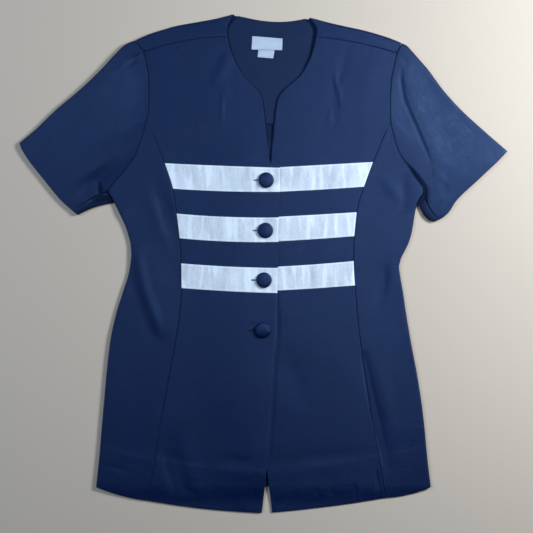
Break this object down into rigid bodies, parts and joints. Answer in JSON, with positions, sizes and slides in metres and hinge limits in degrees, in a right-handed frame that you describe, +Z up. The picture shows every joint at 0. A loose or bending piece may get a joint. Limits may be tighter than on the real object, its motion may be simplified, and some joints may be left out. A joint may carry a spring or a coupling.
{
  "type": "blazer",
  "caption": "Collarless short-sleeved suit jacket with princess seams, contrast bands and covered buttons, laid flat with its front up.",
  "frame": {"origin": "centre of the laid-out jacket's outline, on the surface that it lies on", "axes": "+Z up from the surface through the back and then the fronts, +Y from the hem to the neck, +X towards the wearer's left"},
  "size_m": [0.7079, 0.7242, 0.0134],
  "materials": {
    "navy_cloth": "fine navy twill, matt",
    "navy_facing": "fine navy twill, matt",
    "white_cloth": "fine white twill, matt",
    "button_cover": "navy twill drawn over a dome",
    "label_cloth": "woven white tape, bare"
  },
  "bodies": {
    "root": {"back": "navy_cloth", "back_neck_facing": "navy_facing", "front_right_centre": "navy_cloth", "front_right_side": "navy_cloth", "front_left_centre": "navy_cloth", "front_left_side": "navy_cloth", "sleeve_right": "navy_cloth", "sleeve_left": "navy_cloth", "band_right_1": "white_cloth", "band_right_2": "white_cloth", "band_right_3": "white_cloth", "band_left_1": "white_cloth", "band_left_2": "white_cloth", "band_left_3": "white_cloth", "button_1": "button_cover", "button_2": "button_cover", "button_3": "button_cover", "button_4": "button_cover", "neck_label": "label_cloth", "care_tab": "label_cloth"}
  },
  "joints": []
}
